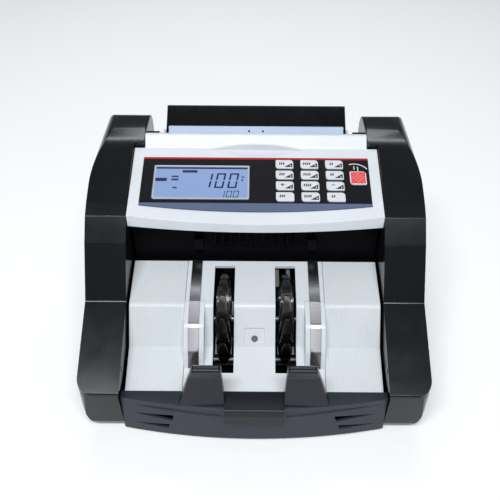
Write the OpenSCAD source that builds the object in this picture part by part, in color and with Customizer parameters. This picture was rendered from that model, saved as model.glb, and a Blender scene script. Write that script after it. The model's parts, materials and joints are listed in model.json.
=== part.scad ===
// Desktop banknote counting machine: top hopper, sloping display panel, front stacker pocket.
// Millimetres. X runs to the right, Y to the back, Z up.
// The origin is the centre of the footprint, on the surface that the feet stand on.

/* [Body] */
// Width over the side covers
body_w = 290; // [286:1:296]
// Depth from the stop's lip to the power inlet's flange
body_d = 258; // [258:1:262]
// Height of the crowned side covers
cover_top = 180; // [178:1:182]
// Width of the stacker pocket between the arm covers
pocket_w = 220; // [218:1:222]
// Thickness of the plastic covers
wall = 2.5; // [2:0.1:2.8]
// Radius of the body's corners, seen from above
corner_r = 12; // [9:1:14]

/* [Display panel] */
// Slope of the panel
panel_slope = 18; // [17:0.5:19]
// Width of one key
key_w = 15.7; // [15:0.1:16]
// Height of one key
key_h = 9.6; // [9:0.1:9.8]
// Travel of a key
key_travel = 1; // [0.6:0.1:1]
// Width of the display window
lcd_w = 84; // [80:1:85]
// Height of the display window
lcd_h = 37; // [35:1:37]

/* [Stacker] */
// Radius of the stacker wheels over their blades
wheel_r = 40; // [38:0.5:40]
// Width of one stacker wheel
wheel_w = 13; // [11:0.5:14]
// Blades on each stacker wheel
blades = 12; // [8:1:14]

/* [Drive] */
// Radius of the shafts
shaft_r = 3; // [2.5:0.5:3]
// Running clearance of a shaft in its hole
run_gap = 0.05; // [0.02:0.01:0.1]
// Radius of the feed rollers
feed_r = 15; // [14:0.5:15]
// Radius of the pick-up rollers
pick_r = 10; // [9:0.5:10]
// Radius of the transport rollers
transport_r = 10; // [9:0.5:11]

/* [Hidden] */

black = [0.11, 0.115, 0.125];
bumper_gray = [0.2, 0.21, 0.24];
white = [0.9, 0.92, 0.94];
steel = [0.72, 0.73, 0.75];
rubber = [0.05, 0.05, 0.055];
board_green = [0.1, 0.35, 0.2];
red = [0.85, 0.12, 0.12];

half_w = body_w / 2;
half_d = body_d / 2;
pocket_x = pocket_w / 2;
gap = 0.3;
back_y = half_d - 3;
front_y = -half_d + 10;

// Heights of the seams between the base, the arm covers and the side covers
foot_h = 3;
base_top = 50;
seam_z = 130;
base_taper = 6;
hopper_x = 101.5;

// Panel: its front edge at the corners, its length up the slope and its bow
panel_y = -7.3;
panel_z = 150;
panel_len = 75;
panel_x = 109.5;
panel_bow = 8;
lip_bottom = 138.5;
overlay_t = 0.6;
overlay_x = 100;
overlay_low = 10.5;
overlay_bow = 6.5;
overlay_high = 63.5;
key_pitch_x = 22;
key_pitch_y = 11.95;
key_first = [25.4, 55.6];
start_center = [89.8, 40.8];
start_size = 14.4;
lcd_center = [-47.5, 35.7];
board_top = -11;
key_foot = -8;

// Stacker: corners of the note path's top line, from the pocket's front edge to the exit
path = [[-106, 40.5, 0], [-70, 56, 0.5], [-48, 85, 9], [-3, 96, 0]];
plate_shift = [1.8, -2.4];
wall_slope = atan2(29, 22);
plate_x = 108.3;
fin_in = 43;
fin_out = 60;
slot_in = 17.8;
slot_out = 35.8;
slot_y = [-91, -8];
pocket_eye = [-97, 58.5];
wheel_x = 27;
wheel_y = -42;
wheel_z = 62;
strip_in = 47;
strip_out = 56.4;

// Hopper bed: its upper edge, its slope and the shafts under it
bed_y = 100;
bed_z = 175.5;
bed_slope = 35;
bed_x = 82.2;
bed_len = 36;
pivot_y = 92;
pivot_z = 168;
pick_s = -16;
feed_s = -34;
cover_pivot = [81.5, 174];

// Frames and shafts; each place is [y, z]
frame_x = 90;
frame_t = 1.5;
pick_at = bed_point(pick_s, -(pick_r - 1.5));
feed_at = bed_point(feed_s, -(feed_r - 1.5));
transport_at = [32, 116];
stacker_at = [wheel_y, wheel_z];
motor_at = [66, 62];
stacker_motor_at = [8, 40];
pulley_w = 3;
pulley_in = frame_x + frame_t + 1;
pulley_out = pulley_in + pulley_w + 1.5;
belt_t = 1.2;
belt_gap = 0.3;
small_pulley = 6;
big_pulley = 10;
pick_pulley = 4.5;
pick_belt_x = -31.5;

// Power inlet and its switch, on the back
inlet_x = -70;
inlet_z = 72;
switch_z = 97;
rocker_r = 8.5;
rocker_w = 13;

// ---------- helpers ----------

// A point on the hopper bed: s along the slope from its upper edge, n along its normal
function bed_point(s, n) = [
  bed_y + s * cos(bed_slope) - n * sin(bed_slope),
  bed_z + s * sin(bed_slope) + n * cos(bed_slope)
];
function unit(v) = v / norm(v);
// The points of an arc of radius r that rounds corner b between a and c
function corner(a, b, c, r, n) =
  let (
    u = unit(a - b),
    v = unit(c - b),
    half = acos(u * v) / 2,
    o = b + unit(u + v) * r / sin(half),
    p = b + u * r / tan(half) - o,
    q = b + v * r / tan(half) - o,
    start = atan2(p.y, p.x),
    turn = (atan2(q.y, q.x) - start + 540) % 360 - 180
  )
  [for (i = [0:n]) o + r * [cos(start + turn * i / n), sin(start + turn * i / n)]];
// A closed outline whose corners are [x, y, radius]
function soft(points, n = 6) = [
  for (i = [0:len(points) - 1])
    let (
      b = points[i],
      a = points[(i + len(points) - 1) % len(points)],
      c = points[(i + 1) % len(points)]
    )
    each (b.z == 0 ? [[b.x, b.y]] : corner([a.x, a.y], [b.x, b.y], [c.x, c.y], b.z, n))
];
function shifted(points, by) = [for (p = points) [p.x + by.x, p.y + by.y, p.z]];
function backwards(list) = [for (i = [len(list) - 1:-1:0]) list[i]];
// A strip of constant thickness under an open line of [y, z, radius] corners
function under(line, by) = soft(concat(line, backwards(shifted(line, by))));

module slab(x0, x1) {
  translate([x0, 0, 0]) rotate([90, 0, 90]) linear_extrude(x1 - x0) children();
}
module along_y(y0, y1) {
  translate([0, y1, 0]) rotate([90, 0, 0]) linear_extrude(y1 - y0) children();
}
module both_sides() {
  children();
  mirror([1, 0, 0]) children();
}
module on_panel() {
  translate([0, panel_y, panel_z]) rotate([panel_slope, 0, 0]) children();
}
module on_wall() {
  translate([0, path[1].x, path[1].y]) rotate([wall_slope, 0, 0]) children();
}
// A rod along X at [y, z]
module rod(at, r, x0, x1) {
  translate([x0, at.x, at.y]) rotate([0, 90, 0]) cylinder(r = r, h = x1 - x0, $fn = 48);
}
module box(low, high) {
  translate(low) cube(high - low);
}
module rounded_box(w, d, r) {
  polygon(soft([[-w / 2, -d / 2, r], [w / 2, -d / 2, r], [w / 2, d / 2, r], [-w / 2, d / 2, r]]));
}
// The body's outline from above, drawn in by inset
module plan(inset, z0, z1) {
  center_y = (front_y + back_y) / 2;
  translate([0, center_y, z0])
    linear_extrude(z1 - z0)
      rounded_box(body_w - 2 * inset, back_y - front_y - 2 * inset, corner_r - inset);
}

// ---------- housing ----------

module base_solid(inset) {
  low = foot_h + inset;
  high = base_top + (inset > 0 ? 1 : 0);
  intersection() {
    plan(inset, low, high);
    along_y(-half_d, half_d)
      offset(delta = -inset)
        polygon(soft([
          [-half_w, base_top + 9, 0], [-half_w, base_top - 12, 12], [-half_w + base_taper, foot_h, 14],
          [half_w - base_taper, foot_h, 14], [half_w, base_top - 12, 12], [half_w, base_top + 9, 0]
        ]));
    slab(-half_w, half_w)
      offset(delta = -inset)
        polygon(soft([
          [front_y, base_top + 9, 0], [front_y + 6, foot_h, 8], [back_y - 3, foot_h, 8],
          [back_y, base_top + 9, 0]
        ]));
  }
}
module screw_posts() {
  both_sides() for (y = screw_ys) translate([screw_x, y, foot_h + 1]) cylinder(r = 4, h = 22, $fn = 32);
}
module base_tray() color(black) {
  difference() {
    union() {
      difference() {
        base_solid(0);
        base_solid(wall);
        box([-bumper_x - gap, -half_d, foot_h - 1], [bumper_x + gap, bumper_back, base_top + 1]);
      }
      box([-bumper_x, bumper_back, foot_h], [bumper_x, bumper_back + wall, 36]);
      screw_posts();
    }
    // Air slots in the floor
    for (x = [-60:12:60], y = [-40, 10, 60])
      box([x - 2, y, foot_h - 1], [x + 2, y + 30, foot_h + wall + 1]);
    both_sides() for (y = screw_ys)
      translate([screw_x, y, foot_h - 1]) cylinder(r = 1.55, h = 30, $fn = 32);
    both_sides() for (y = foot_ys)
      translate([foot_x, y, foot_h - 1]) cylinder(r = foot_r + 0.05, h = 2, $fn = 48);
  }
}
screw_x = 124;
screw_ys = [-80, 90];
foot_x = 115;
foot_ys = [-94, 104];
foot_r = 8;
module rubber_feet() color(rubber) {
  both_sides() for (y = foot_ys) translate([foot_x, y, 0]) cylinder(r = foot_r, h = foot_h + 1, $fn = 48);
}

bumper_x = 111;
bumper_back = -106;
bumper_r = 550;
bumper_rake = -2;
bumper_top = 42;
bumper_front = -half_d + 4.5;
module bumper_solid(inset) {
  intersection() {
    box(
      [-bumper_x + inset, -half_d, foot_h + inset],
      [bumper_x - inset, bumper_back - gap, bumper_top - inset]
    );
    translate([0, bumper_front, bumper_top])
      rotate([bumper_rake, 0, 0])
        translate([0, bumper_r, -base_top])
          cylinder(r = bumper_r - inset, h = 2 * base_top, $fn = 240);
  }
}
// A slit in the bumper's side: a point outside, a straight end inside
module bumper_slit(tip, end_x, end_low, end_high, depth) {
  intersection() {
    along_y(-half_d, -half_d + depth) polygon([tip, [end_x, end_high], [end_x - 1.5, end_low]]);
    box([-bumper_x, -half_d, 0], [0, bumper_back, bumper_top]);
  }
}
module front_bumper() color(bumper_gray) difference() {
  bumper_solid(0);
  // Hollow, open towards the tray's front wall
  bumper_solid(wall);
  both_sides() {
    bumper_slit([-101, 25], -67, 20.6, 28, 26);
    bumper_slit([-101, 12.5], -71, 10, 15.5, 26);
  }
  // Shallow eyebrow under the ledge: it follows the curved face
  both_sides() intersection() {
    along_y(-half_d, bumper_back) polygon([[-101, 36], [-27, 38.5], [-27, 30.5]]);
    difference() {
      bumper_solid(-1);
      bumper_solid(1.2);
    }
  }
}

// Side profile of the lower arm, extended past its seams by more
arm_line = [[front_y, base_top + 3, 2], [-49, 90, 5]];
module arm_profile(low, high) {
  top_y = -49 + (high - 90) * 0.7;
  back_line = [[top_y, high, 0], [back_y, high, 0], [back_y, low, 0]];
  polygon(soft(concat([[front_y, low, 0]], arm_line, back_line)));
}
module arm_cover() {
  difference() {
    intersection() {
      slab(-half_w, -pocket_x) arm_profile(base_top + gap, seam_z);
      plan(0, 0, cover_top);
    }
    intersection() {
      slab(-half_w + wall, -pocket_x - wall) offset(delta = -wall) arm_profile(base_top - 10, seam_z + 10);
      plan(wall, 0, cover_top);
    }
    rod(pocket_eye, 2, -pocket_x - wall - 1, -pocket_x + 1);
  }
}
module left_arm_cover() color(black) arm_cover();
module right_arm_cover() color(black) mirror([1, 0, 0]) arm_cover();

// Crowned upper cover: a long gentle rise in side view, a wide fillet along its outer edge
module side_profile(low) {
  polygon(soft([
    [-49 + (low - 90) * 0.7, low, 0], [-5, 147.5, 2], [6, 154.5, 25], [30, 165.5, 80], [66, 177, 80],
    [92, cover_top, 80], [back_y, cover_top, 18], [back_y, low, 0]
  ]));
}
module crown(low) {
  outer_fillet = 18;
  polygon(soft([
    [-half_w, low, 0], [-half_w, cover_top, outer_fillet], [-hopper_x, cover_top, 3], [-hopper_x, low, 0]
  ], 12));
}
module side_solid(inset, low) {
  difference() {
    intersection() {
      slab(-half_w, 0) offset(delta = -inset) side_profile(low);
      along_y(-half_d, half_d) offset(delta = -inset) crown(low);
      plan(inset, 0, 2 * cover_top);
    }
    box([-pocket_x - inset, -half_d, 0], [0, 66 + inset, 2 * cover_top]);
  }
}
module side_cover() {
  difference() {
    side_solid(0, seam_z + gap);
    side_solid(wall, seam_z - 10);
    rod(cover_pivot, 2.5 + run_gap, -hopper_x - wall - 1, -hopper_x + 1);
  }
}
module left_side_cover() color(black) side_cover();
module right_side_cover() color(black) mirror([1, 0, 0]) side_cover();

rear_line = [[back_y - wall, base_top + gap, 0], [back_y - wall, 146, 6], [109, 157.5, 0]];
wing_line = [
  [120, 148, 0], [101.8, 167, 2], [87.4, 167, 1], [87.4, 160, 1], [66.5, 160, 0],
  [66.5, 161.6, 0], [85.8, 161.6, 1], [85.8, 168.6, 1], [102.6, 168.6, 3], [121.4, 149.4, 0]
];
wing_x = frame_x + frame_t + 0.5;
module rear_cover() color(black) difference() {
  union() {
    difference() {
      slab(-pocket_x + gap, pocket_x - gap) polygon(under(rear_line, [2.2, 1.6]));
      both_sides() box([hopper_x - gap, 0, seam_z], [half_w, half_d, cover_top]);
    }
    both_sides() slab(wing_x, hopper_x - gap) polygon(soft(wing_line));
  }
  // Louvres
  for (x = [-30, 40], z = [66:8:122]) box([x - 22, 118, z], [x + 22, half_d, z + 3]);
  box([inlet_x - 14, 115, inlet_z - 11], [inlet_x + 14, half_d, switch_z + 10]);
  for (x = [-92, 92], z = [60, 122])
    translate([x, half_d, z]) rotate([90, 0, 0]) cylinder(r = 1.55, h = 20, $fn = 32);
}

// ---------- stop at the front of the pocket ----------

paddle_top = 84.5;
ledge_z = bumper_top + gap;
lip_foot = 26;
module stacker_stop() color(black) {
  both_sides() intersection() {
    along_y(-half_d, -100)
      polygon(soft([[24.2, ledge_z, 0], [61.5, ledge_z, 0], [49, paddle_top, 3], [26.5, paddle_top, 3]]));
    slab(-half_w, half_w)
      polygon(soft([
        [-121.5, ledge_z, 0], [-117.5, paddle_top - 11, 8], [-121, paddle_top, 2.5], [-112, paddle_top, 4],
        [-112.5, ledge_z, 0]
      ]));
  }
  slab(-24.4, 24.4)
    polygon(soft([
      [-108, ledge_z, 0], [-108, ledge_z + 1.2, 0.5], [-half_d + 1.6, ledge_z + 1.4, 2],
      [-half_d, ledge_z - 4, 3],
      [-half_d, lip_foot, 1], [-half_d + 3, lip_foot, 0], [-half_d + 3.8, ledge_z, 0]
    ]));
}

// ---------- display panel ----------

module bezel_solid(inset) {
  bow_r = (panel_x * panel_x + panel_bow * panel_bow) / (2 * panel_bow);
  intersection() {
    slab(-panel_x + inset, panel_x - inset)
      offset(delta = -inset)
        polygon([
          [panel_y - 20, panel_z - 20 * tan(panel_slope)],
          [panel_y + panel_len * cos(panel_slope), panel_z + panel_len * sin(panel_slope)],
          [panel_y + panel_len * cos(panel_slope), lip_bottom - inset],
          [panel_y - 20, lip_bottom - inset]
        ]);
    translate([0, panel_y - panel_bow + bow_r, lip_bottom - 1 - inset])
      cylinder(r = bow_r - inset, h = 60, $fn = 240);
  }
}
// Low arched tab along the bezel's back edge, in front of the hopper cover
tab_r = 155;
tab_top = 178.4;
module bezel_tab() {
  back = panel_y + panel_len * cos(panel_slope);
  intersection() {
    box([-half_w, back - 2, 170], [half_w, back, tab_top]);
    translate([0, 0, tab_top - tab_r]) rotate([-90, 0, 0]) cylinder(r = tab_r, h = half_d, $fn = 240);
  }
}
module display_bezel() color(white) difference() {
  union() {
    bezel_solid(0);
    bezel_tab();
  }
  bezel_solid(wall);
  box([-panel_x + wall, panel_y + wall, lip_bottom - 1], [panel_x - wall, 61, lip_bottom + wall + 0.1]);
  box([-panel_x + wall, 40, lip_bottom - 1], [panel_x - wall, 70, lip_bottom + 12]);
  on_panel() {
    translate([lcd_center.x, lcd_center.y, -wall - 1])
      linear_extrude(wall + 2) square([lcd_w + 1, lcd_h + 1], center = true);
    box([15, 13, -wall - 1], [99, 62, 1]);
  }
}
// Outline of a key: two corners round, two nearly square
module key_outline(w, h, grow) {
  a = [w / 2 + grow, h / 2 + grow];
  polygon(soft([[-a.x, -a.y, 3], [a.x, -a.y, 1], [a.x, a.y, 3], [-a.x, a.y, 1]]));
}
function key_center(i) = key_first + [(i % 3) * key_pitch_x, -floor(i / 3) * key_pitch_y];
module panel_overlay() color([0.05, 0.05, 0.06]) on_panel() difference() {
  linear_extrude(overlay_t) polygon(concat(
    [[overlay_x, overlay_high], [-overlay_x, overlay_high]],
    [for (t = [-1:0.125:1]) [t * overlay_x, overlay_low - overlay_bow * (1 - t * t)]]
  ));
  translate([lcd_center.x, lcd_center.y, -1])
    linear_extrude(3) square([lcd_w + 1, lcd_h + 1], center = true);
  for (i = [0:11])
    translate([key_center(i).x, key_center(i).y, -1]) linear_extrude(3) key_outline(key_w, key_h, gap);
  translate([start_center.x, start_center.y, -1])
    linear_extrude(3) key_outline(start_size, start_size, gap);
}
module lcd_module() color([0.55, 0.65, 0.85]) on_panel() translate([lcd_center.x, lcd_center.y, 0]) {
  difference() {
    translate([0, 0, -6]) linear_extrude(7) rounded_box(lcd_w, lcd_h, 2);
    translate([0, 0, 0.2]) linear_extrude(2) rounded_box(lcd_w - 3, lcd_h - 3, 1);
  }
  translate([0, 0, board_top + 0.01])
    linear_extrude(-board_top - 6) square([lcd_w - 20, lcd_h - 14], center = true);
}
module display_board() color(board_green) on_panel() {
  box([-96, 14, board_top - 1.6], [99, 61, board_top]);
  for (i = [0:11]) translate([key_center(i).x, key_center(i).y, board_top])
    cylinder(r = 3, h = key_foot - key_travel - 0.2 - board_top, $fn = 32);
  translate([start_center.x, start_center.y, board_top])
    cylinder(r = 3, h = key_foot - key_travel - 0.2 - board_top, $fn = 32);
}
module key(center, w, h, tint) {
  color(tint) on_panel() translate([center.x, center.y, 0]) {
    translate([0, 0, -3]) linear_extrude(4.6) key_outline(w, h, 0);
    translate([0, 0, key_foot]) cylinder(r = 2.5, h = 6, $fn = 32);
  }
}

// ---------- stacker pocket ----------

module stacker_plate(x0, x1) {
  slab(x0, x1) polygon(under(path, plate_shift));
}
module stacker_plate_left() color(white) stacker_plate(-plate_x, -fin_out - gap);
module stacker_plate_right() color(white) stacker_plate(fin_out + gap, plate_x);

// Fins that carry the guide strips
module fin() {
  slab(fin_in, fin_out)
    polygon(soft([
      [-40, 86, 0], [-46, 86.8, 2], [-67, 79, 12], [-81, 62, 16], [-88, 47.5, 0], [-70, 55, 0], [-46, 84, 0]
    ]));
}
module stacker_center_plate() color(white) difference() {
  union() {
    stacker_plate(-fin_out, fin_out);
    both_sides() fin();
  }
  both_sides() box([slot_in, slot_y[0], 0], [slot_out, slot_y[1], cover_top]);
  on_wall() {
    box([-8.5, 3.5, -1.2], [8.5, 16.5, 10]);
    translate([0, 7, -10]) cylinder(r = 2.85, h = 12, $fn = 32);
  }
}
// Stainless strips: flat on the upper plate, then over the fins down to the floor
strip_line = [[-3, 97, 0], [-46, 87.6, 2], [-67.6, 79.7, 12], [-81.9, 62.2, 16], [-88.2, 49.2, 0]];
module guide_strips() color(steel)
  both_sides() slab(strip_in, strip_out) polygon(under(strip_line, [0.45, -0.6]));

module note_sensors() color([0.45, 0.47, 0.5]) {
  on_wall() {
    box([-6, 2, -6], [6, 16, -3.4]);
    translate([0, 7, -4]) cylinder(r = 2.7, h = 3.4, $fn = 32);
  }
  both_sides() rod(pocket_eye, 1.9, pocket_x - 0.6, pocket_x + wall);
}

// One curved blade: a thin leaf whose tip trails round the hub, and narrows to a point
blade_t = 1.5;
blade_sweep = 75;
hub_r = 13;
petal_r = 22;
function blade_point(t, side) =
  let (
    r = hub_r - 1 + (wheel_r - hub_r + 1) * t,
    lean = side * blade_t / 2 / r * 180 / PI,
    a = lean - blade_sweep * t * t
  )
  r * [cos(a), sin(a)];
module blade_slab() {
  steps = [0:0.125:1];
  linear_extrude(wheel_w, center = true)
    polygon(concat([for (t = steps) blade_point(t, 1)], [for (t = steps) blade_point(1 - t, -1)]));
}
// A round solid that narrows from the wheel's width to a thin edge
module petal_limit() {
  arc = [for (i = [-6:6]) 15 * i];
  rotate_extrude($fn = 72)
    polygon(concat(
      [[0, -wheel_w / 2]],
      [for (a = arc) [petal_r + (wheel_r + 0.6 - petal_r) * cos(a), wheel_w / 2 * sin(a)]],
      [[0, wheel_w / 2]]
    ));
}
module stacker_wheel(x) {
  difference() {
    union() {
      rod(stacker_at, hub_r, x - wheel_w / 2, x + wheel_w / 2);
      translate([x, stacker_at.x, stacker_at.y]) rotate([90, 0, 90]) intersection() {
        for (i = [0:blades - 1]) rotate(360 * i / blades) blade_slab();
        petal_limit();
      }
    }
    rod(stacker_at, shaft_r, x - wheel_w, x + wheel_w);
  }
}
module stacker_wheel_left() color(rubber) stacker_wheel(-wheel_x);
module stacker_wheel_right() color(rubber) stacker_wheel(wheel_x);
module stacker_shaft() color(steel) {
  rod(stacker_at, shaft_r, -pulley_out, frame_x + 4);
  rod(stacker_at, big_pulley, -pulley_in - pulley_w, -pulley_in);
}

exit_y = 4;
comb_pitch = 7;
module exit_guide() color(black) {
  wall_low = 89;
  wall_high = 136;
  box([-plate_x, exit_y, wall_low], [plate_x, exit_y + wall, wall_high]);
  box([-plate_x, -4, wall_high - 2], [plate_x, exit_y + gap, wall_high + 1]);
  box([-plate_x, -1, wall_low], [plate_x, exit_y + gap, wall_low + 2]);
  for (x = [-5 * comb_pitch:comb_pitch:5 * comb_pitch])
    slab(x - 0.9, x + 0.9)
      polygon([[exit_y + 1, 106], [exit_y + 1, wall_high - 1], [-3, wall_high - 1], [-3, 118]]);
  both_sides() box([46, -2, 109], [54, exit_y + 1, 120]);
}

// ---------- hopper ----------

module top_cover() color(white) {
  slab(-hopper_x + 0.5, hopper_x - 0.5)
    difference() {
      cover_profile();
      offset(delta = -2) cover_profile();
      translate([67, 160]) square([16, 8]);
    }
  both_sides() rod(cover_pivot, 2.5, hopper_x - 8, hopper_x + wall - 0.3);
}
module cover_profile() {
  polygon(soft([
    [66, 167.7, 0], [66, 169.5, 1.5], [77, 180.5, 2.5], [85.5, 176.3, 2.5], [85, 170, 2], [80, 163, 0]
  ]));
}
module hopper_plate() color([0.82, 0.87, 0.95]) difference() {
  union() {
    slab(-bed_x, bed_x)
      polygon(concat(
        [bed_point(0, 0), bed_point(-bed_len, 0), bed_point(-bed_len, -2)],
        [bed_point(-1.5, -2), bed_point(-1.5, -4)],
        [[107.5, 165], [108.5, 158.5], [110.5, 159.3], [109.8, 166], bed_point(0, -4)]
      ));
    both_sides() {
      slab(85, 87.5)
        polygon([bed_point(-24, -3), bed_point(-2, -3), bed_point(-6, -16), bed_point(-24, -16)]);
      rod([pivot_y, pivot_z], 4.4, 85, 87.5);
      slab(bed_x - 2, 87.5)
        polygon([bed_point(-24, -12.5), bed_point(-4, -12.5), bed_point(-6, -15), bed_point(-24, -15)]);
      slab(bed_x - 2, bed_x)
        polygon([bed_point(-24, -1), bed_point(-4, -1), bed_point(-5, -15), bed_point(-24, -15)]);
    }
  }
  both_sides() {
    rod(pick_at, pick_r + 1, 13, 27);
    rod(feed_at, feed_r + 1, 33, 51);
    rod(pick_at, shaft_r + 1, bed_x - 3, 88);
    rod([pivot_y, pivot_z], 2 + run_gap, 84, 88.5);
    translate([6.5, bed_point(-5, 0).x, bed_point(-5, 0).y])
      rotate([bed_slope, 0, 0])
        cylinder(r = 1.1, h = 8, center = true, $fn = 32);
  }
}
// Support behind the notes: it folds forward about stub pins at the ends of its arms
support_len = 22.5;
module note_support() color(black) {
  slab(-84.5, 84.5)
    polygon(soft([
      concat(bed_point(0.8, -3.4), 0), concat(bed_point(0.8, 0.3), 0),
      concat(bed_point(support_len, 0.3), 2.8), concat(bed_point(support_len, -5), 1.5),
      concat(bed_point(support_len - 7, -3.4), 4)
    ]));
  both_sides() {
    slab(82.7, 84.5)
      polygon(soft([
        concat(bed_point(2, -3.4), 0), concat(bed_point(2, 0.8), 0), concat(bed_point(-12, 0.8), 1),
        concat(bed_point(-13.4, -1.5), 1), concat(bed_point(-12, -4.6), 1), concat(bed_point(-4, -4.6), 2)
      ]));
    rod([pivot_y, pivot_z], 2, 83, 87.2);
  }
}

// ---------- frame and drive ----------

module frame_plate(x) {
  difference() {
    slab(x, x + frame_t)
      polygon(soft([
        [-58, 10, 3], [-58, 50, 6], [-42, 78, 3], [0, 85, 3], [7.5, 87, 2], [7.5, 131, 3], [62, 136, 2],
        [68, 138, 2], [70, 156, 3], [85, 158, 3], [90, 166, 2], [102, 166, 2], [108, 156, 3], [108, 10, 3]
      ]));
    for (at = [feed_at, pick_at, transport_at, stacker_at])
      rod(at, shaft_r + run_gap, x - 1, x + frame_t + 1);
    for (at = [motor_at, stacker_motor_at]) rod(at, 5, x - 1, x + frame_t + 1);
    for (at = tie_ats) rod(at, 3, x - 1, x + frame_t + 1);
    // Window that saves weight
    slab(x - 1, x + frame_t + 1) polygon(soft([[22, 50, 4], [40, 50, 4], [40, 90, 4], [22, 90, 4]]));
  }
}
tie_ats = [[-50, 16], [100, 20], [96, 125], [20, 104]];
module frame_left() color(steel) frame_plate(-frame_x - frame_t);
module frame_right() color(steel) frame_plate(frame_x);
module tie_bars() color(steel) for (at = tie_ats) {
  rod(at, 5, -frame_x, frame_x);
  rod(at, 3, -frame_x - frame_t - 0.5, frame_x + frame_t + 0.5);
}

module feed_shaft() color(steel) {
  rod(feed_at, shaft_r, -frame_x - 4, pulley_out + pulley_w);
  rod(feed_at, big_pulley, pulley_in, pulley_in + pulley_w);
  rod(feed_at, small_pulley, pulley_out, pulley_out + pulley_w);
  rod(feed_at, small_pulley, pick_belt_x, pick_belt_x + pulley_w);
}
module roller(at, r, x0, x1) {
  difference() {
    rod(at, r, x0, x1);
    rod(at, shaft_r, x0 - 1, x1 + 1);
  }
}
module feed_rollers() color([0.25, 0.25, 0.28]) both_sides() roller(feed_at, feed_r, 34, 50);
module pickup_shaft() color(steel) {
  rod(pick_at, shaft_r, -frame_x - 4, frame_x + 4);
  rod(pick_at, pick_pulley, pick_belt_x, pick_belt_x + pulley_w);
}
module pickup_rollers() color([0.25, 0.25, 0.28]) both_sides() roller(pick_at, pick_r, 14, 26);
module transport_shaft() color(steel) {
  rod(transport_at, shaft_r, -frame_x - 4, pulley_out + pulley_w);
  rod(transport_at, small_pulley, pulley_out, pulley_out + pulley_w);
}
module transport_rollers() color([0.25, 0.25, 0.28])
  for (x = [-60, -20, 20, 60]) roller(transport_at, transport_r, x - 7, x + 7);

module motor(at, r, x0, x1, bore_r) {
  difference() {
    union() {
      rod(at, r, x0, x1);
      rod(at, r - 6, x0 - 4, x0 + 1);
    }
    rod(at, bore_r, x0 - 5, x1 + 1);
  }
}
module main_motor() color([0.35, 0.36, 0.38]) motor(motor_at, 26, 26, frame_x, shaft_r + run_gap);
module motor_pulley() color(steel) {
  rod(motor_at, shaft_r, 24, pulley_in + pulley_w);
  rod(motor_at, small_pulley, pulley_in, pulley_in + pulley_w);
}
module stacker_motor() color([0.35, 0.36, 0.38])
  mirror([1, 0, 0]) motor(stacker_motor_at, 17, 46, frame_x, shaft_r + run_gap);
module stacker_motor_pulley() color(steel) {
  rod(stacker_motor_at, shaft_r, -pulley_in - pulley_w, -44);
  rod(stacker_motor_at, small_pulley, -pulley_in - pulley_w, -pulley_in);
}

// A belt round two pulleys, a little clear of both
module belt_loop(a, ra, b, rb, grow) {
  hull() {
    translate(a) circle(r = ra + belt_gap + grow, $fn = 48);
    translate(b) circle(r = rb + belt_gap + grow, $fn = 48);
  }
}
module belt(a, ra, b, rb, x) {
  color(rubber) slab(x + 0.3, x + pulley_w - 0.3) difference() {
    belt_loop(a, ra, b, rb, belt_t);
    belt_loop(a, ra, b, rb, 0);
  }
}
module main_belt() belt(motor_at, small_pulley, feed_at, big_pulley, pulley_in);
module transport_belt() belt(feed_at, small_pulley, transport_at, small_pulley, pulley_out);
module pickup_belt() belt(feed_at, small_pulley, pick_at, pick_pulley, pick_belt_x);
module stacker_belt() belt(stacker_motor_at, small_pulley, stacker_at, big_pulley, -pulley_in - pulley_w);

// ---------- electrics ----------

module power_board() color(board_green) {
  box([-80, 40, 12], [-20, 104, 13.6]);
  box([-70, 50, 13.5], [-34, 90, 48]);
  for (x = [-76, -24], y = [44, 100]) translate([x, y, foot_h + wall]) cylinder(r = 2.5, h = 7, $fn = 24);
}
module main_board() color(board_green) {
  box([-10, -30, 12], [84, 32, 13.6]);
  box([6, -16, 13.5], [30, 8, 17]);
  box([60, -24, 13.5], [80, 20, 22]);
  for (x = [-6, 80], y = [-26, 28]) translate([x, y, foot_h + wall]) cylinder(r = 2.5, h = 7, $fn = 24);
}
module power_inlet() color([0.06, 0.06, 0.065]) {
  difference() {
    union() {
      along_y(back_y, half_d) translate([inlet_x, (inlet_z + switch_z) / 2]) rounded_box(32, 50, 3);
      along_y(104, back_y + 1) translate([inlet_x, inlet_z - 1]) square([27, 19], center = true);
      along_y(108, back_y + 1) translate([inlet_x, switch_z - 0.5]) square([18, 20], center = true);
    }
    along_y(112, half_d + 1)
      translate([inlet_x, inlet_z - 1])
        polygon(soft([[-12, -8, 1.5], [12, -8, 1.5], [12, 4, 0], [8, 8, 0], [-8, 8, 0], [-12, 4, 0]]));
    slab(inlet_x - rocker_w / 2 - gap, inlet_x + rocker_w / 2 + gap)
      translate([back_y - 4, switch_z]) union() {
        circle(r = rocker_r + gap, $fn = 64);
        translate([0, -rocker_r - gap]) square([10, 2 * (rocker_r + gap)]);
      }
    rod([back_y - 4, switch_z], 1.5 + run_gap, inlet_x - 8.2, inlet_x + 8.2);
  }
  for (p = [[-6, -3], [6, -3], [0, 3]])
    box([inlet_x + p.x - 1, 111, inlet_z + p.y - 3], [inlet_x + p.x + 1, half_d - 5, inlet_z + p.y + 1]);
}
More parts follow.
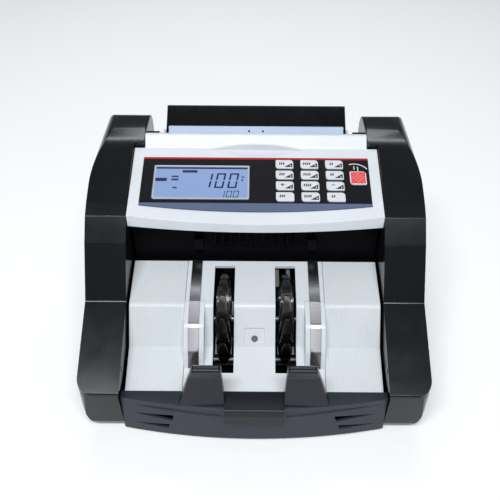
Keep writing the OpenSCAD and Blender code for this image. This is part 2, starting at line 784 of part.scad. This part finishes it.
// Rocker of the switch, at rest with its lower end out
rocker_tilt = 8;
module power_switch() color(red) {
  slab(inlet_x - rocker_w / 2, inlet_x + rocker_w / 2)
    translate([back_y - 4, switch_z]) rotate(rocker_tilt) intersection() {
      circle(r = rocker_r, $fn = 64);
      polygon([[-4, -9], [6.5, -9], [5, 0], [6.5, 9], [-4, 9]]);
    }
  rod([back_y - 4, switch_z], 1.5, inlet_x - 8, inlet_x + 8);
}
module screws() color(steel) {
  both_sides() for (y = screw_ys) translate([screw_x, y, 0]) {
    translate([0, 0, foot_h - 1.4]) cylinder(r = 3, h = 1.4, $fn = 32);
    translate([0, 0, foot_h - 0.5]) cylinder(r = 1.5, h = 18, $fn = 32);
  }
  for (x = [-92, 92], z = [60, 122]) translate([x, back_y - 8, z]) rotate([-90, 0, 0]) {
    cylinder(r = 1.5, h = 9, $fn = 32);
    translate([0, 0, 8.2]) cylinder(r = 3, h = 1.6, $fn = 32);
  }
}

base_tray();
front_bumper();
left_arm_cover();
right_arm_cover();
left_side_cover();
right_side_cover();
rear_cover();
stacker_stop();
rubber_feet();
display_bezel();
panel_overlay();
lcd_module();
display_board();
for (i = [0:11])
  key(key_center(i), key_w, key_h, white);
key(start_center, start_size, start_size, red);  // start_key
stacker_plate_left();
stacker_plate_right();
stacker_center_plate();
guide_strips();
note_sensors();
stacker_shaft();
stacker_wheel_left();
stacker_wheel_right();
top_cover();
hopper_plate();
note_support();
exit_guide();
frame_left();
frame_right();
tie_bars();
feed_shaft();
feed_rollers();
pickup_shaft();
pickup_rollers();
transport_shaft();
transport_rollers();
main_motor();
motor_pulley();
stacker_motor();
stacker_motor_pulley();
main_belt();
transport_belt();
pickup_belt();
stacker_belt();
power_board();
main_board();
power_inlet();
power_switch();
screws();
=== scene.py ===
"""Looks of the desktop banknote counting machine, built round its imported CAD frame. Metres."""
import json
import math

import bmesh
import bpy
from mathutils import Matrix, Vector


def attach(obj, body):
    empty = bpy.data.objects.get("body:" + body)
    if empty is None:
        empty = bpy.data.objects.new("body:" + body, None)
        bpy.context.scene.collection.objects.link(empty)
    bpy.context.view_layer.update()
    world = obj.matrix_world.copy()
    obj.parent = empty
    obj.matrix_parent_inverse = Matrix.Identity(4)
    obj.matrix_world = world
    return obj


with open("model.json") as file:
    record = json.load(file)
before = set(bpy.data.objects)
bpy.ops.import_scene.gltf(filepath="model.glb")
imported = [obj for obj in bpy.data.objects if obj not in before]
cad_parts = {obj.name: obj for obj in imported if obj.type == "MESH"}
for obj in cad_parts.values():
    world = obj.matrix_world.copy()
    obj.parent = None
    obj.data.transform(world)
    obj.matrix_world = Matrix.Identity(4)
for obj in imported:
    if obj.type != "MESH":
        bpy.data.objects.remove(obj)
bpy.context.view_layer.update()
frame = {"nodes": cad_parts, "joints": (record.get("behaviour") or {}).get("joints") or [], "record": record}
NODES = frame["nodes"]
JOINTS = {joint["name"]: joint for joint in frame["joints"]}
SLOTS = {row["node"]: row["material_slot"] for row in frame["record"]["subparts"]}
MM = 0.001
EDGE_WIDTH = 0.4 * MM
PRINT = 0.03 * MM


# ---------- the sloping panel's own axes: across, up the slope, out of the face ----------

PRESS = Vector(JOINTS["key_1_press"]["axis"])
OUT = -PRESS
UP = Vector((0, OUT.z, -OUT.y))


def panel_box(node):
    """Lowest and highest corner of a node, as (across, up, out)."""
    points = [Vector((v.co.x, v.co.dot(UP), v.co.dot(OUT))) for v in NODES[node].data.vertices]
    low = Vector([min(p[i] for p in points) for i in range(3)])
    high = Vector([max(p[i] for p in points) for i in range(3)])
    return low, high


def panel_point(across, up, out):
    return Vector((across, 0, 0)) + UP * up + OUT * out


# ---------- camera, floor and light ----------

def make_camera():
    """In front of the machine, looking down at it; the small shift and roll put it off square."""
    data = bpy.data.cameras.new("camera")
    data.sensor_width = 36
    data.lens = 46.8
    data.shift_x = -0.0104
    data.clip_start = 0.01
    data.clip_end = 20
    camera = bpy.data.objects.new("camera", data)
    bpy.context.scene.collection.objects.link(camera)
    camera.location = (0, -0.446, 0.481)
    look_down = math.radians(40)
    roll = math.radians(0.4)
    camera.rotation_euler = (math.pi / 2 - look_down, 0, 0)
    camera.rotation_euler.rotate_axis("Z", roll)
    bpy.context.scene.camera = camera


LIGHT_COLOUR = (0.96, 0.98, 1)
LIGHT_TARGET = Vector((0, 0, 0.1))


def area_light(name, place, size, power):
    """A rectangular lamp that faces the machine."""
    data = bpy.data.lights.new(name, "AREA")
    data.shape = "RECTANGLE"
    data.size, data.size_y = size
    data.energy = power
    data.color = LIGHT_COLOUR
    lamp = bpy.data.objects.new(name, data)
    bpy.context.scene.collection.objects.link(lamp)
    lamp.location = place
    aim = LIGHT_TARGET - Vector(place)
    lamp.rotation_euler = aim.to_track_quat("-Z", "Y").to_euler()


def make_stage():
    """Pale floor, a dim sky, and four lamps that leave the broad black faces dark."""
    mesh = bpy.data.meshes.new("floor")
    bm = bmesh.new()
    bmesh.ops.create_grid(bm, x_segments=8, y_segments=8, size=4)
    bm.to_mesh(mesh)
    bm.free()
    floor = bpy.data.objects.new("floor", mesh)
    bpy.context.scene.collection.objects.link(floor)
    mesh.materials.append(floor_paper())
    world = bpy.data.worlds.new("studio")
    bpy.context.scene.world = world
    world.use_nodes = True
    sky = world.node_tree.nodes["Background"]
    sky.inputs["Color"].default_value = (0.9, 0.94, 1, 1)
    sky.inputs["Strength"].default_value = 0.16
    area_light("front_box", (-0.1, -0.93, 1.7), (1.4, 0.28), 31)
    area_light("back_strip", (0, 1.1, 1.2), (1.4, 0.15), 6)
    area_light("low_card", (0, -1.5, 1.0), (0.5, 0.6), 1)
    area_light("top_card", (0, 0.09, 1.2), (0.5, 0.1), 0.25)
    bpy.context.scene.view_settings.view_transform = "Standard"


# ---------- materials ----------

class Surface:
    """A principled material, with helpers that wire its texture nodes in metres."""

    def __init__(self, name, colour, roughness, metallic=0.0, gloss=0.5):
        self.material = bpy.data.materials.new(name)
        self.material.use_nodes = True
        self.tree = self.material.node_tree
        self.shader = self.tree.nodes["Principled BSDF"]
        self.shader.inputs["Base Color"].default_value = (*colour, 1)
        self.shader.inputs["Roughness"].default_value = roughness
        self.shader.inputs["Metallic"].default_value = metallic
        self.shader.inputs["Specular IOR Level"].default_value = gloss
        self.place = self.tree.nodes.new("ShaderNodeTexCoord").outputs["Object"]

    def add(self, kind, **values):
        """A shader node; each value goes to the input or the setting of its name."""
        node = self.tree.nodes.new(kind)
        for key, value in values.items():
            if key in node.inputs:
                node.inputs[key].default_value = value
            else:
                setattr(node, key, value)
        return node

    def noise(self, scale, detail=2.0, stretch=(1, 1, 1)):
        """Soft random spots; stretch packs them closer along an axis."""
        mapping = self.add("ShaderNodeMapping", Scale=stretch)
        self.tree.links.new(self.place, mapping.inputs["Vector"])
        node = self.add("ShaderNodeTexNoise", Scale=scale, Detail=detail)
        self.tree.links.new(mapping.outputs["Vector"], node.inputs["Vector"])
        return node.outputs["Fac"]

    def waves_across(self, pitch):
        """Ribs that repeat along X; at scale 1 the texture has a band every 1 / 3.18 m."""
        node = self.add("ShaderNodeTexWave", bands_direction="X", wave_profile="SIN")
        node.inputs["Scale"].default_value = 1 / (pitch * 3.18)
        self.tree.links.new(self.place, node.inputs["Vector"])
        return node.outputs["Fac"]

    def vary_colour(self, value, low, high):
        mix = self.add("ShaderNodeMix", data_type="RGBA")
        mix.inputs["A"].default_value = (*low, 1)
        mix.inputs["B"].default_value = (*high, 1)
        self.tree.links.new(value, mix.inputs["Factor"])
        self.tree.links.new(mix.outputs["Result"], self.shader.inputs["Base Color"])

    def vary_roughness(self, value, low, high):
        ramp = self.add("ShaderNodeMapRange")
        ramp.inputs["To Min"].default_value = low
        ramp.inputs["To Max"].default_value = high
        self.tree.links.new(value, ramp.inputs["Value"])
        self.tree.links.new(ramp.outputs["Result"], self.shader.inputs["Roughness"])

    def bump(self, value, strength, distance):
        """Adds relief over any that the shader has."""
        node = self.add("ShaderNodeBump", Strength=strength, Distance=distance)
        self.tree.links.new(value, node.inputs["Height"])
        target = self.shader.inputs["Normal"]
        if target.is_linked:
            self.tree.links.new(target.links[0].from_socket, node.inputs["Normal"])
        self.tree.links.new(node.outputs["Normal"], target)


def scaled(colour, factor):
    """A lighter or darker version of a colour."""
    return tuple(min(1, c * factor) for c in colour)


# Texture scales, in features per metre
SHADE_SCALE = 18
GLOSS_SCALE = 60
GRAIN_SCALE = 2200
BRUSH_SCALE = 40


def plastic(name, colour, roughness, relief=0.03, gloss=0.5):
    """Moulded plastic: fine grain, with slow changes of shade and gloss; relief is in mm."""
    s = Surface(name, colour, roughness, gloss=gloss)
    s.vary_colour(s.noise(SHADE_SCALE, 3), scaled(colour, 0.9), scaled(colour, 1.1))
    s.vary_roughness(s.noise(GLOSS_SCALE, 4), roughness - 0.05, roughness + 0.06)
    s.bump(s.noise(GRAIN_SCALE), 0.25, relief * MM)
    return s


def floor_paper():
    """White backdrop paper, lifted a little by its own light."""
    s = Surface("floor_paper", (0.96, 0.96, 0.96), 0.8, gloss=0.1)
    s.vary_colour(s.noise(6), (0.95, 0.95, 0.95), (0.97, 0.97, 0.97))
    s.shader.inputs["Emission Color"].default_value = (1, 1, 1, 1)
    s.shader.inputs["Emission Strength"].default_value = 0.12
    return s.material


def brushed(name, colour, roughness):
    """Metal with fine brush lines that run across X."""
    s = Surface(name, colour, roughness, metallic=1.0)
    lines = s.noise(BRUSH_SCALE, 4, stretch=(90, 1.5, 1.5))
    s.vary_colour(lines, scaled(colour, 0.86), scaled(colour, 1.1))
    s.vary_roughness(lines, roughness - 0.06, roughness + 0.08)
    s.bump(lines, 0.1, 0.02 * MM)
    return s


def ribbed_white():
    """The pocket's white plates: fine ribs side by side, for the notes to slide on."""
    s = plastic("ribbed_white", (0.69, 0.73, 0.76), 0.36, relief=0.01)
    rib_pitch = 2 * MM
    rib_height = 0.25 * MM
    s.bump(s.waves_across(rib_pitch), 0.6, rib_height)
    return s


def glowing_screen():
    """The display's film, with a weak backlight."""
    s = plastic("screen_glow", (0.22, 0.31, 0.52), 0.2, relief=0.002)
    s.shader.inputs["Emission Color"].default_value = (0.3, 0.42, 0.75, 1)
    s.shader.inputs["Emission Strength"].default_value = 0.15
    return s


# One finish for each material slot; colours are linear red, green and blue
FINISHES = {
    "cover_black": plastic("cover_black", (0.008, 0.0085, 0.0105), 0.18, gloss=0.32),
    "bumper_black": plastic("bumper_black", (0.03, 0.034, 0.05), 0.35, gloss=0.3),
    "panel_white": plastic("panel_white", (0.72, 0.75, 0.79), 0.36, relief=0.015),
    # hopper_white is darker and bluer than panel_white: this is white plastic with painted shade, because
    # the hopper floor lies in shade
    "hopper_white": plastic("hopper_white", (0.5, 0.59, 0.76), 0.22, relief=0.01),
    "overlay_black": plastic("overlay_black", (0.006, 0.006, 0.008), 0.4, relief=0.004, gloss=0.2),
    "lcd": plastic("lcd", (0.45, 0.5, 0.58), 0.25, relief=0.004),
    "key_white": plastic("key_white", (0.68, 0.7, 0.74), 0.35, relief=0.01),
    "key_red": plastic("key_red", (0.82, 0.84, 0.86), 0.35, relief=0.01),
    # Steel and zinc inside the housing are darker than bare metal: painted shade for the shadowed inside of
    # the machine
    "steel": brushed("steel", (0.3, 0.3, 0.32), 0.35),
    "zinc": brushed("zinc", (0.22, 0.225, 0.235), 0.45),
    "rubber": plastic("rubber", (0.005, 0.005, 0.006), 0.2, relief=0.006, gloss=0.45),
    "roller": plastic("roller", (0.03, 0.03, 0.033), 0.6, relief=0.05),
    "board": plastic("board", (0.008, 0.035, 0.02), 0.45, relief=0.02, gloss=0.3),
    "motor": plastic("motor", (0.05, 0.05, 0.055), 0.4, relief=0.02, gloss=0.3),
    "inlet": plastic("inlet", (0.015, 0.015, 0.017), 0.4),
    "switch_red": plastic("switch_red", (0.6, 0.03, 0.03), 0.2, relief=0.005),
    "sensor": plastic("sensor", (0.11, 0.13, 0.16), 0.12, relief=0.005),
}
RIBBED_WHITE = ribbed_white()
# Nodes that look different from the rest of their slot
OWN_FINISHES = {
    "stacker_plate_left": RIBBED_WHITE,
    "stacker_plate_right": RIBBED_WHITE,
    # The exit guide's black is darker than the covers' black: painted shade for its place under the
    # display's overhang
    "exit_guide": plastic("dull_black_painted_shade", (0.003, 0.003, 0.004), 0.55, gloss=0.06),
    "guide_strips": brushed("polished", (0.68, 0.68, 0.71), 0.2),
    "stacker_stop": plastic("stop_black", (0.014, 0.015, 0.022), 0.3, gloss=0.3),
    "note_support": plastic("support_black", (0.004, 0.004, 0.005), 0.16, relief=0.01, gloss=0.3),
}
SCREEN = glowing_screen()
RED_PRINT = plastic("red_print", (0.46, 0.02, 0.022), 0.2, relief=0.004)
SLATE_PRINT = plastic("slate_print", (0.11, 0.14, 0.24), 0.25, relief=0.004)
INK = plastic("ink", (0.015, 0.015, 0.02), 0.3, relief=0.002)
# Ink for the screen's segments, also used for the painted shadow along the screen's upper edge
SEGMENT_INK_AND_SHADOW = plastic("segment_ink_and_shadow", (0.02, 0.025, 0.1), 0.3, relief=0.002)
WHITE_PRINT = plastic("white_print", (0.75, 0.77, 0.8), 0.3, relief=0.002)
START_RED = plastic("start_red", (0.78, 0.06, 0.07), 0.3, relief=0.004)
PINK_PRINT = plastic("pink_print", (0.85, 0.3, 0.3), 0.3, relief=0.002)


# ---------- pieces ----------

def soften(obj, width, angle=30):
    """Rounds a CAD node's edges that are sharper than the angle, and keeps its flat faces flat."""
    weld = obj.modifiers.new("weld", "WELD")
    weld.merge_threshold = 0.01 * MM
    flat = obj.modifiers.new("flat", "DECIMATE")
    flat.decimate_type = "DISSOLVE"
    flat.angle_limit = math.radians(0.5)
    bevel = obj.modifiers.new("bevel", "BEVEL")
    bevel.width = width
    bevel.segments = 3
    bevel.limit_method = "ANGLE"
    bevel.angle_limit = math.radians(angle)
    flats = obj.modifiers.new("flats", "WEIGHTED_NORMAL")
    flats.mode = "FACE_AREA"
    flats.weight = 100
    obj.data.shade_smooth()


def panel_print(name, outlines, low, high, finish, body):
    """Flat shapes that lie on the panel, from (across, up) outlines, between two heights."""
    bm = bmesh.new()
    for outline in outlines:
        face = bm.faces.new([bm.verts.new(panel_point(x, up, low)) for x, up in outline])
        made = bmesh.ops.extrude_face_region(bm, geom=[face])["geom"]
        corners = [g for g in made if isinstance(g, bmesh.types.BMVert)]
        bmesh.ops.translate(bm, verts=corners, vec=OUT * (high - low))
    bmesh.ops.recalc_face_normals(bm, faces=bm.faces)
    mesh = bpy.data.meshes.new(name)
    bm.to_mesh(mesh)
    bm.free()
    mesh.materials.append(finish.material)
    piece = bpy.data.objects.new(name, mesh)
    bpy.context.scene.collection.objects.link(piece)
    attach(piece, body)


def rectangle(x, y, w, h, slant=0.0):
    """Outline round a centre; slant leans it to the right."""
    lean = slant * h / 2
    return [
        (x - w / 2 - lean, y - h / 2), (x + w / 2 - lean, y - h / 2),
        (x + w / 2 + lean, y + h / 2), (x - w / 2 + lean, y + h / 2),
    ]


def overlay_prints():
    """The red line along the overlay's upper edge and the slate band along its bowed lower edge."""
    low, high = panel_box("panel_overlay")
    inset = 0.15 * MM
    half = high.x - inset
    top = high.y - inset
    line_low = high.y - 2.1 * MM
    red = [(-half, line_low), (half, line_low), (half, top), (-half, top)]
    panel_print("red_line", [red], high.z, high.z + PRINT, RED_PRINT, "housing")
    band_top = low.y + 9.2 * MM
    bow = 6.5 * MM
    steps = [i / 8 - 1 for i in range(17)]
    edge = [(half * t, low.y + inset + bow * t * t) for t in steps]
    band = edge + [(half, band_top), (-half, band_top)]
    panel_print("slate_band", [band], high.z, high.z + PRINT, SLATE_PRINT, "housing")


SEGMENTS = {"0": "abcdef", "1": "bc"}
DIGIT_LEAN = 0.16


def digit(symbol, x, y, w, h, t):
    """Seven-segment outlines of one digit, leaning to the right; x, y is its lower left corner."""
    gap = 0.12 * t
    flat = w - 2 * gap
    upright = h / 2 - 3 * gap - t / 2
    bars = {
        "a": (w / 2, h - t / 2, flat, t),
        "b": (w - t / 2, h * 0.75, t, upright),
        "c": (w - t / 2, h * 0.25, t, upright),
        "d": (w / 2, t / 2, flat, t),
        "e": (t / 2, h * 0.25, t, upright),
        "f": (t / 2, h * 0.75, t, upright),
    }
    outlines = []
    for key in SEGMENTS[symbol]:
        corners = rectangle(*bars[key])
        outlines.append([(x + px + DIGIT_LEAN * py, y + py) for px, py in corners])
    return outlines


# Plain blocks beside the digits: middle across, middle up, width and height, in mm from the centre
SCREEN_BLOCKS = [
    (-10.4, 12, 13, 2.8), (-35.8, 2.8, 11, 3.6), (-23.2, 6.3, 6.2, 1.6), (-23.2, 2.9, 6.2, 2),
    (-23, -6, 3.8, 1.6), (36.2, 6, 1.4, 2), (35.7, 2.6, 1.4, 2),
]


def screen_prints():
    """The lit film inside the display's frame, a painted shadow along its upper edge, and the segments on
    it.
    """
    low, high = panel_box("lcd_module")
    middle = (low + high) / 2
    face = high.z - 0.8 * MM
    frame_width = 1.5 * MM
    w = high.x - low.x - 2 * frame_width
    h = high.y - low.y - 2 * frame_width
    film = face + PRINT
    glow = [rectangle(middle.x, middle.y, w - 0.1 * MM, h - 0.1 * MM)]
    panel_print("screen", glow, face, film, SCREEN, "housing")
    # Painted shadow: a dark strip along the film's upper edge, where the overlay's window edge shades the
    # recessed screen
    painted_shadow = [rectangle(middle.x, middle.y + h / 2 - 1.1 * MM, w - 0.2 * MM, 2.1 * MM)]
    panel_print("screen_painted_shadow", painted_shadow, film, film + PRINT, SEGMENT_INK_AND_SHADOW, "housing")
    shapes = []
    for i, symbol in enumerate("100"):
        big_x = middle.x + (-0.3 + 11.4 * i) * MM
        small_x = middle.x + (15.6 + 6 * i) * MM
        shapes += digit(symbol, big_x, middle.y - 6.2 * MM, 8.1 * MM, 16.4 * MM, 1.6 * MM)
        shapes += digit(symbol, small_x, middle.y - 16.2 * MM, 4.6 * MM, 7.2 * MM, 0.75 * MM)
    for across, up, block_w, block_h in SCREEN_BLOCKS:
        x = middle.x + across * MM
        y = middle.y + up * MM
        shapes.append(rectangle(x, y, block_w * MM, block_h * MM))
    panel_print("segments", shapes, film, film + PRINT, SEGMENT_INK_AND_SHADOW, "housing")


PLUS_KEY = 7
MINUS_KEY = 9
PLAIN_KEYS = (10, 12)
STROKE = 0.8 * MM
LEAN = 0.15


def key_bars(number, x, y):
    """A plus, a minus, or two to four leaning bars; x, y is the key's middle."""
    sign_x = x - 2 * MM
    sign_y = y + 1 * MM
    if number == PLUS_KEY:
        bars = [rectangle(sign_x, sign_y, 3.4 * MM, STROKE)]
        bars += [rectangle(sign_x, sign_y + side * 1.1 * MM, STROKE, 1.3 * MM) for side in (1, -1)]
        return bars
    if number == MINUS_KEY:
        return [rectangle(sign_x, sign_y, 3 * MM, STROKE)]
    count = 2 + number % 3
    pitch = 1.7 * MM
    first = x - 2.4 * MM - pitch * (count - 1) / 2
    return [rectangle(first + pitch * i, y + 0.6 * MM, 1.05 * MM, 2.7 * MM, LEAN) for i in range(count)]


def key_marks():
    """Generic marks: bars on each key, and on most a dark corner with a light dot."""
    for number in range(1, 13):
        low, high = panel_box(f"key_{number}")
        x = (low.x + high.x) / 2
        y = (low.y + high.y) / 2
        top = high.z + PRINT
        body = f"button_{number}"
        bars = key_bars(number, x, y)
        panel_print(f"key_mark_{number}", bars, high.z, top, INK, body)
        if number in PLAIN_KEYS:
            continue
        right = x + 6.9 * MM
        bottom = y - 3.3 * MM
        corner = [(x - 0.2 * MM, bottom), (right, bottom), (right, y + 1.4 * MM)]
        panel_print(f"key_corner_{number}", [corner], high.z, top, INK, body)
        dot = [rectangle(x + 5.3 * MM, y - 1.7 * MM, 0.8 * MM, 1.6 * MM, LEAN)]
        panel_print(f"key_dot_{number}", dot, top, top + PRINT, WHITE_PRINT, body)


def crossed_lines(x, y, half, offset, t):
    """Two thin diagonals that cross inside a square; offset slides both sideways."""
    near = max(-half, -half - offset)
    far = min(half, half - offset)
    lines = []
    for side in (-1, 1):
        ends = [(near, side * (near + offset)), (far, side * (far + offset))]
        outline = [(px, py - t) for px, py in ends] + [(px, py + t) for px, py in reversed(ends)]
        lines.append([(x + px, y + py) for px, py in outline])
    return lines


def arc(centre_x, centre_y, radius, turns):
    """Points on a circle at the given angles."""
    return [(centre_x + radius * math.cos(turn), centre_y + radius * math.sin(turn)) for turn in turns]


def start_prints():
    """The start key's woven red face inside its white border."""
    low, high = panel_box("start_key")
    x = (low.x + high.x) / 2
    y = (low.y + high.y) / 2
    top = high.z + PRINT
    side = high.x - low.x - 1.7 * MM
    panel_print("start_face", [rectangle(x, y, side, side)], high.z, top, START_RED, "start")
    half = side / 2 - 0.6 * MM
    weave = []
    for offset in (-4 * MM, 0, 4 * MM):
        weave += crossed_lines(x, y, half, offset, 0.35 * MM)
    panel_print("start_weave", weave, top, top + PRINT, PINK_PRINT, "start")


def start_mark():
    """A pale arc with two stems on the overlay, above the start key."""
    low, high = panel_box("start_key")
    x = (low.x + high.x) / 2
    face = panel_box("panel_overlay")[1].z
    radius = 14 * MM
    turns = [math.radians(35 + 75 * i / 12) for i in range(13)]
    outer = arc(x - 2.5 * MM, high.y - 4.5 * MM, radius, turns)
    inner = arc(x - 2.5 * MM, high.y - 4.5 * MM, radius - 0.9 * MM, turns)
    band = outer + inner[::-1]
    left_stem = rectangle(x - 2.8 * MM, high.y + 4.6 * MM, STROKE, 4 * MM)
    right_stem = rectangle(x + 0.4 * MM, high.y + 3.6 * MM, STROKE, 5 * MM)
    shapes = [band, left_stem, right_stem]
    panel_print("start_mark", shapes, face, face + PRINT, WHITE_PRINT, "housing")


make_camera()
make_stage()
for name, node in NODES.items():
    finish = OWN_FINISHES.get(name, FINISHES[SLOTS[name]])
    node.data.materials.clear()
    node.data.materials.append(finish.material)
    soften(node, EDGE_WIDTH)
overlay_prints()
screen_prints()
key_marks()
start_prints()
start_mark()
